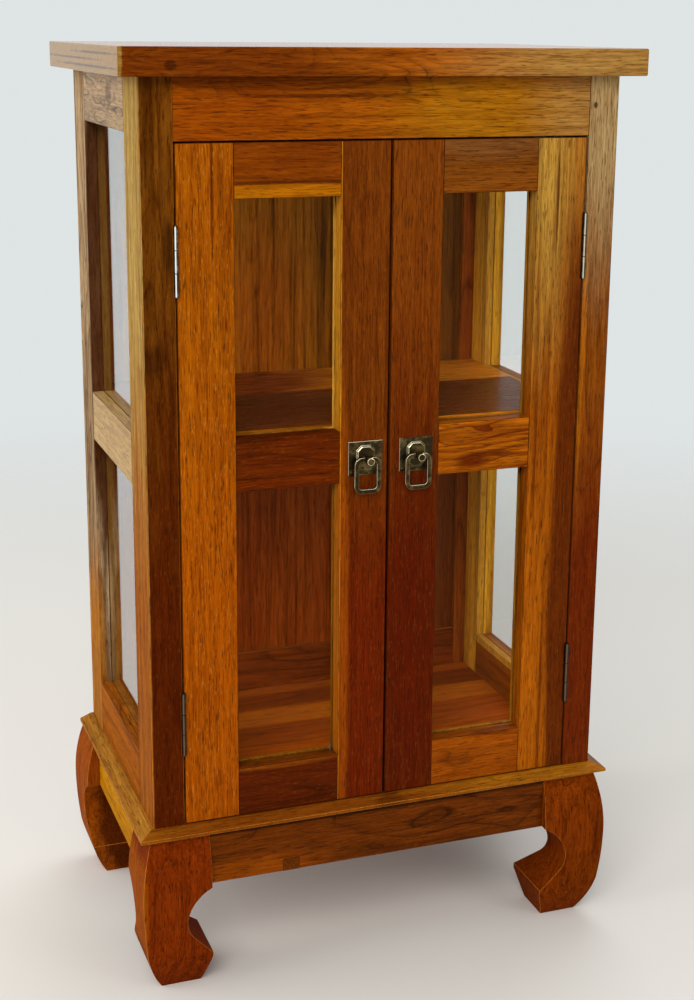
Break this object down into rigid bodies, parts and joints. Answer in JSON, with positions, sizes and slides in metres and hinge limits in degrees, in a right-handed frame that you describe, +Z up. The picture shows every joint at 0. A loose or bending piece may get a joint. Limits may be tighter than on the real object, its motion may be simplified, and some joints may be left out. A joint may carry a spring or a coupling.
{
  "type": "display cabinet",
  "caption": "Small teak display cabinet on curved legs, with hinged glazed doors, glazed sides, a shelf, a waist moulding and swinging bail pulls.",
  "frame": {"origin": "on the floor, under the middle of the cabinet", "axes": "+Z up, +X to the right seen from the front, the doors face -Y"},
  "size_m": [0.5, 0.325, 0.893],
  "materials": {
    "teak": "satin varnish",
    "glass": "clear",
    "steel": "dull",
    "aged_brass": "antique"
  },
  "bodies": {
    "cabinet": {"back_boards": "teak", "back_bottom_rail": "teak", "back_stiles": "teak", "back_top_rail": "teak", "floor_panel": "teak", "front_apron": "teak", "front_left_leg": "teak", "front_left_post": "teak", "front_moulding": "teak", "front_right_leg": "teak", "front_right_post": "teak", "header_rail": "teak", "hinge_pins": "steel", "left_apron": "teak", "left_bottom_rail": "teak", "left_mid_rail": "teak", "left_moulding": "teak", "left_top_rail": "teak", "magnetic_catches": "steel", "post_hinge_leaves": "steel", "rear_apron": "teak", "rear_base_strip": "teak", "rear_left_leg": "teak", "rear_left_post": "teak", "rear_right_leg": "teak", "rear_right_post": "teak", "right_apron": "teak", "right_bottom_rail": "teak", "right_mid_rail": "teak", "right_moulding": "teak", "right_top_rail": "teak", "shelf": "teak", "shelf_cleats": "teak", "side_beads": "teak", "side_glass": "glass", "top_board": "teak"},
    "left_door": {"left_hinge_stile": "teak", "left_meeting_stile": "teak", "left_door_top_rail": "teak", "left_door_mid_rail": "teak", "left_door_bottom_rail": "teak", "left_door_glass": "glass", "left_door_beads": "teak", "left_door_hinge_leaves": "steel", "left_strike_plate": "steel", "left_pull_plate": "aged_brass", "left_pull_post": "aged_brass"},
    "left_bail": {"left_bail": "aged_brass"},
    "right_door": {"right_hinge_stile": "teak", "right_meeting_stile": "teak", "right_door_top_rail": "teak", "right_door_mid_rail": "teak", "right_door_bottom_rail": "teak", "right_door_glass": "glass", "right_door_beads": "teak", "right_door_hinge_leaves": "steel", "right_strike_plate": "steel", "right_pull_plate": "aged_brass", "right_pull_post": "aged_brass"},
    "right_bail": {"right_bail": "aged_brass"}
  },
  "joints": [
    {"name": "left_door_hinge", "type": "hinge", "parent": "cabinet", "child": "left_door", "pos_m": [-0.19925, -0.1465, 0.492], "axis": [0, 0, -1], "range_deg": [0, 170]},
    {"name": "left_bail_swing", "type": "hinge", "parent": "left_door", "child": "left_bail", "pos_m": [-0.02075, -0.152, 0.518], "axis": [-1, 0, 0], "range_deg": [-5, 165]},
    {"name": "right_door_hinge", "type": "hinge", "parent": "cabinet", "child": "right_door", "pos_m": [0.19925, -0.1465, 0.492], "axis": [0, 0, 1], "range_deg": [0, 170]},
    {"name": "right_bail_swing", "type": "hinge", "parent": "right_door", "child": "right_bail", "pos_m": [0.03025, -0.152, 0.518], "axis": [-1, 0, 0], "range_deg": [-5, 165]}
  ]
}
